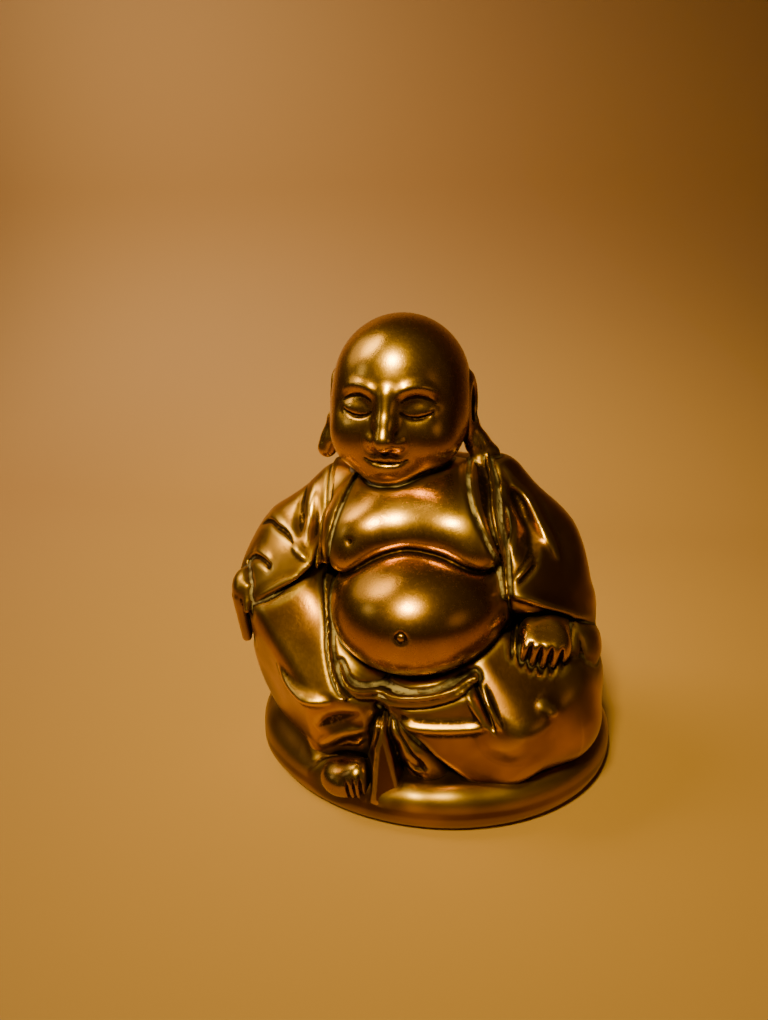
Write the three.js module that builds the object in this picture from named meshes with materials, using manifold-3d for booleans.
// A small seated monk figure in cast brass, about 105 mm tall, on a low cushion base.
// The figure is cast in sections that meet along its chased grooves and stands on a closed base.
// Millimetres, +Z up. The origin is the middle of the underside. The figure faces -Y, so its own
// right side is at -X.

import * as THREE from 'three';
import { mergeVertices } from 'three/addons/utils/BufferGeometryUtils.js';
import Module from 'manifold-3d';

const wasm = await Module();
wasm.setup();

// Driving dimensions
const HEIGHT = 105; // underside of the base to the crown
const BASE_HALF_WIDTH = 43.5;
const BASE_HALF_DEPTH = 40;
const BASE_THICKNESS = 10; // at the middle of the base
const PLATE_RADIUS = 33; // closing plate let into the underside
const PLATE_THICKNESS = 3;
const LEAN_DEGREES = 6; // the body leans to its own right, the head stays upright
const LEAN_PIVOT_Z = 12;
const WALL = 4; // casting wall
const GAP = 0.3; // clearance between neighbouring sections
const HEAD_X = -9; // the leaning neck carries the head to this side
const BELLY_X = 2; // middle of the belly in the leaning frame

// Mesh fineness: a round section gets a few sides more for each millimetre of its radius
const LEAST_SIDES = 6;
const SIDES_PER_MM = 0.45;

// ---------------------------------------------------------------- solids

function solid(geometry) {
  const bare = geometry.clone();
  bare.deleteAttribute('normal');
  bare.deleteAttribute('uv');
  const merged = mergeVertices(bare, 1e-4);
  const vertProperties = new Float32Array(merged.attributes.position.array);
  const triVerts = new Uint32Array(merged.index.array);
  return new wasm.Manifold(new wasm.Mesh({ numProp: 3, vertProperties, triVerts }));
}

function join(parts) {
  return parts.reduce((sum, part) => sum.add(part));
}

function largestBody(body) {
  const bodies = body.decompose();
  return bodies.reduce((best, next) => (next.volume() > best.volume() ? next : best));
}

function geometryOf(body) {
  const { vertProperties, triVerts } = body.getMesh();
  const geometry = new THREE.BufferGeometry();
  geometry.setAttribute('position', new THREE.BufferAttribute(new Float32Array(vertProperties), 3));
  geometry.setIndex(new THREE.BufferAttribute(new Uint32Array(triVerts), 1));
  geometry.computeVertexNormals();
  return geometry;
}

function sidesFor(radius) {
  return Math.round(LEAST_SIDES + SIDES_PER_MM * radius);
}

// An ellipsoid. grow makes it larger all round, which leaves the gap to a neighbour.
function ball(centre, radii, grow = 0) {
  const sides = sidesFor(Math.max(...radii));
  const geometry = new THREE.SphereGeometry(1, sides, Math.round(sides / 2));
  geometry.rotateX(Math.PI / 2);
  geometry.scale(...radii.map((radius) => radius + grow));
  geometry.translate(...centre);
  return solid(geometry);
}

// A rounded rod that tapers from one ball to another.
function limb(start, startRadius, end, endRadius, grow = 0) {
  const from = new THREE.Vector3(...start);
  const to = new THREE.Vector3(...end);
  const along = to.clone().sub(from);
  const length = along.length();
  const slope = Math.asin((startRadius - endRadius) / length);
  const sides = sidesFor(Math.max(startRadius, endRadius));
  const rings = Math.round(sides / 4);
  const profile = [];
  const arc = (radius, height, first, last) => {
    for (let step = 0; step <= rings; step += 1) {
      const angle = first + ((last - first) * step) / rings;
      profile.push(new THREE.Vector2(radius * Math.cos(angle), height + radius * Math.sin(angle)));
    }
  };
  arc(startRadius + grow, 0, -Math.PI / 2, slope);
  arc(endRadius + grow, length, slope, Math.PI / 2);
  profile[0].x = 0;
  profile.at(-1).x = 0;
  const geometry = new THREE.LatheGeometry(profile, sides);
  const turn = new THREE.Quaternion().setFromUnitVectors(new THREE.Vector3(0, 1, 0), along.normalize());
  geometry.applyQuaternion(turn);
  geometry.translate(...start);
  return solid(geometry);
}

// A chain of limbs through several places, each place given as [x, y, z, radius].
function chain(places, grow = 0) {
  const links = [];
  for (let i = 1; i < places.length; i += 1) {
    const [x0, y0, z0, r0] = places[i - 1];
    const [x1, y1, z1, r1] = places[i];
    links.push(limb([x0, y0, z0], r0, [x1, y1, z1], r1, grow));
  }
  return join(links);
}

// The space below a tilted plane through a point, as a large block.
function below(point, normal, size = 80) {
  const geometry = new THREE.BoxGeometry(size, size, size);
  geometry.translate(0, 0, -size / 2);
  const direction = new THREE.Vector3(...normal).normalize();
  geometry.applyQuaternion(new THREE.Quaternion().setFromUnitVectors(new THREE.Vector3(0, 0, 1), direction));
  geometry.translate(...point);
  return solid(geometry);
}

// ---------------------------------------------------------------- base

// Half outline of the cushion, from the middle of its top round the rolled edge to the underside.
function cushion(grow = 0) {
  const outline = new THREE.Shape();
  outline.moveTo(0, 0);
  outline.lineTo(0.955, 0);
  outline.bezierCurveTo(1.01, 0.1, 1.015, 0.55, 0.955, 0.8);
  outline.bezierCurveTo(0.9, 1.0, 0.8, 1.0, 0.6, 1.0);
  outline.lineTo(0, 1);
  const points = outline.getPoints(5).reverse();
  points[0].x = 0;
  points.at(-1).x = 0;
  const geometry = new THREE.LatheGeometry(points.reverse(), 44);
  geometry.rotateX(Math.PI / 2);
  geometry.scale(BASE_HALF_WIDTH + grow, BASE_HALF_DEPTH + grow, BASE_THICKNESS + grow);
  return geometry;
}

function disc(radius, bottom, top) {
  const geometry = new THREE.CylinderGeometry(radius, radius, top - bottom, 40);
  geometry.rotateX(Math.PI / 2);
  geometry.translate(0, 0, (top + bottom) / 2);
  return solid(geometry);
}

function plinth() {
  const recess = disc(PLATE_RADIUS + GAP, -1, PLATE_THICKNESS + GAP);
  return solid(cushion()).subtract(recess);
}

function basePlate() {
  return disc(PLATE_RADIUS, 0, PLATE_THICKNESS);
}

// ---------------------------------------------------------------- figure
// Everything below is in the leaning frame, apart from the head, which is set upright.

function mirrored(make) {
  return join([-1, 1].map(make));
}

function head(grow = 0) {
  const top = HEIGHT - 16;
  return join([
    ball([0.3, -1, top], [16.2, 16.5, 16], grow),
    ball([0, -4, 79.5], [14, 13, 12.3], grow),
    ball([0, -11.5, 72.5], [6.5, 5, 4.6], grow),
    limb([0, -16.6, 86], 1.5, [0, -18.2, 80.5], 2.5, grow),
    limb([0, 0, 72], 10, [1.5, 0, 66], 10, grow),
    mirrored((side) => ball([side * 15.6, 1.5, 84.5], [2.4, 4.2, 8], grow)),
    mirrored((side) => limb([side * 16.2, 1.5, 79], 2.2, [side * 19.5, 2.5, 73.5], 2.6, grow)),
  ]);
}

function torso(grow = 0) {
  return join([
    ball([1, -4, 60], [21, 17, 12], grow),
    ball([BELLY_X, -15, 44], [20.5, 23.5, 15.5], grow),
    ball([BELLY_X, -6, 36], [22, 22, 15], grow),
    mirrored((side) => ball([BELLY_X + side * 11.5, -16.5, 58], [8.5, 9, 7.6], grow)),
  ]);
}

function robeBack(grow = 0) {
  return join([
    ball([0, 4, 62], [25.5, 15, 11.5], grow),
    ball([0, 7, 49], [30, 20, 22], grow),
    ball([0, 6, 28], [36, 28, 22], grow),
  ]);
}

function rightSleeve(grow = 0) {
  return join([
    chain([[-19, 3, 63.5, 8.5], [-31, -1, 50, 9.8], [-30, -13, 49, 9], [-25, -17, 51, 6.5]], grow),
    ball([-29, -3, 43], [12.5, 13, 11], grow),
  ]);
}

function leftSleeve(grow = 0) {
  const drape = join([
    chain([[18, 3, 63.5, 8.8], [25.5, 1, 50, 10], [28.5, -1, 38, 11.4]], grow),
    ball([27, -11, 47], [10, 11.5, 9.5], grow),
  ]);
  return drape.subtract(below([31.5, -22, 43.8 - grow], [0.31, 0.56, 1]));
}

// Fingers side by side, each from its knuckle to its tip.
function fingers(count, knuckle, tip, step, radius, grow) {
  const moved = (place, index) => place.map((value, axis) => value + step[axis] * index);
  return join(
    Array.from({ length: count }, (_, i) => limb(moved(knuckle, i), radius, moved(tip, i), radius, grow)),
  );
}

function rightHand(grow = 0) {
  return join([
    ball([-39.5, -13, 45.5], [4.2, 6.5, 5.5], grow),
    fingers(4, [-42, -8.5, 43], [-41, -10.5, 34.5], [0, -2.9, 0], 1.9, grow),
  ]);
}

function leftHand(grow = 0) {
  return join([
    ball([28.8, -19.5, 40], [6.4, 6.8, 5], grow),
    fingers(4, [24.2, -25, 40.5], [24.6, -25.5, 35.8], [3, 0.4, -0.5], 1.9, grow),
    limb([22, -22, 40], 1.9, [22.5, -25, 35], 1.7, grow),
  ]);
}

function clothSack(grow = 0) {
  return ball([33, -8, 30], [8.4, 11, 9.5], grow);
}

function rightLeg(grow = 0) {
  return join([
    chain([[-29, -18, 36.5, 10.5], [-26, -22, 27, 11.5], [-16, -28, 18, 8.8]], grow),
    ball([-26.5, -8, 25], [14.8, 20, 18], grow),
  ]);
}

function leftLeg(grow = 0) {
  return join([
    chain([[6, -30, 18, 6.5], [18, -28, 16.5, 9.2], [29, -18, 17, 10.8]], grow),
    ball([25, -10, 22], [16, 20.5, 14], grow),
  ]);
}

function rightFoot(grow = 0) {
  return join([
    ball([-13.5, -34.5, 11.5], [6, 6, 4.2], grow),
    fingers(4, [-15, -37, 11.2], [-15, -39.2, 10.6], [2.1, 0.3, 0], 1.3, grow),
  ]);
}

function robeDrape(grow = 0) {
  return join([
    chain([[-4.5, -30, 27, 3], [-5, -34, 18, 3.4], [-5.5, -38, 11.5, 3]], grow),
    chain([[-3, -30, 26, 3], [-1.5, -34, 17, 3.2], [-0.5, -37.5, 11.5, 2.6]], grow),
  ]);
}

// A flat band swept along a smooth line.
function band(places, width, thickness, grow = 0) {
  const outline = new THREE.Shape();
  outline.absellipse(0, 0, thickness / 2 + grow, width / 2 + grow, 0, 2 * Math.PI);
  const path = new THREE.CatmullRomCurve3(places.map((place) => new THREE.Vector3(...place)));
  const options = { steps: 4 * places.length, curveSegments: 3, bevelEnabled: false, extrudePath: path };
  return solid(new THREE.ExtrudeGeometry(outline, options));
}

function rightLapel(grow = 0) {
  return band([[-15, 1, 73], [-16.5, -9, 68], [-17.5, -16, 60], [-18, -19.5, 52], [-18.6, -20, 46]], 6, 4, grow);
}

function leftLapel(grow = 0) {
  return band([[14.5, 2, 72], [16, -8, 67], [18, -15, 60], [20.5, -18.5, 53], [22, -19, 48]], 6, 4, grow);
}

function waistSash(grow = 0) {
  return band(
    [[-18, -20, 41], [-13.5, -25, 33], [-6, -29, 29], [3, -30.5, 28.5], [11, -28, 30], [17.5, -23, 34], [21, -19.5, 41]],
    4.6, 3.6, grow,
  );
}

// The hollow inside the castings, open through every neighbouring section and closed by the base.
function core() {
  return join([
    ball([1, -5, 42], [18, 17 , 22]),
    ball([0, 2, 24], [30, 23, 17]),
    limb([1, -1, 60], 7, [0, -1, 78], 6),
    ball([-0.5, -1, 88.5], [15.8 - WALL, 16.5 - WALL, 16 - WALL]),
  ]);
}

// ---------------------------------------------------------------- assembly

const lean = new THREE.Matrix4()
  .makeTranslation(0, 0, LEAN_PIVOT_Z)
  .multiply(new THREE.Matrix4().makeRotationY(THREE.MathUtils.degToRad(-LEAN_DEGREES)))
  .multiply(new THREE.Matrix4().makeTranslation(0, 0, -LEAN_PIVOT_Z));

// The upright head, seen from the leaning frame.
function uprightHead(grow = 0) {
  const geometry = geometryOf(head(grow));
  geometry.translate(HEAD_X, 0, 0);
  geometry.applyMatrix4(lean.clone().invert());
  return solid(geometry);
}

// The cushion top, seen from the leaning frame, with everything under it.
function cushionCut() {
  const geometry = cushion(GAP);
  geometry.applyMatrix4(lean.clone().invert());
  const ground = below([0, 0, 7], [Math.sin(THREE.MathUtils.degToRad(LEAN_DEGREES)), 0, 1], 200);
  return solid(geometry).add(ground);
}

// Sections in the order in which they keep their full shape: each is cut clear of all above it.
const SECTIONS = [
  ['right_hand', rightHand, 0xa8742c],
  ['left_hand', leftHand, 0xa8742c],
  ['right_foot', rightFoot, 0xa8742c],
  ['waist_sash', waistSash, 0x8f6124],
  ['right_lapel', rightLapel, 0x8f6124],
  ['left_lapel', leftLapel, 0x8f6124],
  ['robe_drape', robeDrape, 0x7d5220],
  ['head', uprightHead, 0xb8842f],
  ['right_sleeve', rightSleeve, 0x9a6a28],
  ['left_sleeve', leftSleeve, 0x9a6a28],
  ['cloth_sack', clothSack, 0x7d5220],
  ['right_leg', rightLeg, 0x94642a],
  ['left_leg', leftLeg, 0x94642a],
  ['torso', torso, 0xc08a34],
  ['robe_back', robeBack, 0x85591f],
];

function brass(colour) {
  return new THREE.MeshStandardMaterial({ color: colour, metalness: 1, roughness: 0.35 });
}

function part(name, body, colour) {
  const mesh = new THREE.Mesh(geometryOf(body), brass(colour));
  mesh.name = name;
  return mesh;
}

const figure = new THREE.Group();
figure.applyMatrix4(lean);
let taken = core().add(cushionCut());
for (const [name, shape, colour] of SECTIONS) {
  figure.add(part(name, largestBody(shape().subtract(taken)), colour));
  taken = taken.add(shape(GAP));
}

const statue = new THREE.Group();
statue.add(part('plinth', plinth(), 0x7a5020));
statue.add(part('base_plate', basePlate(), 0x9c7431));
statue.add(figure);

export default statue;
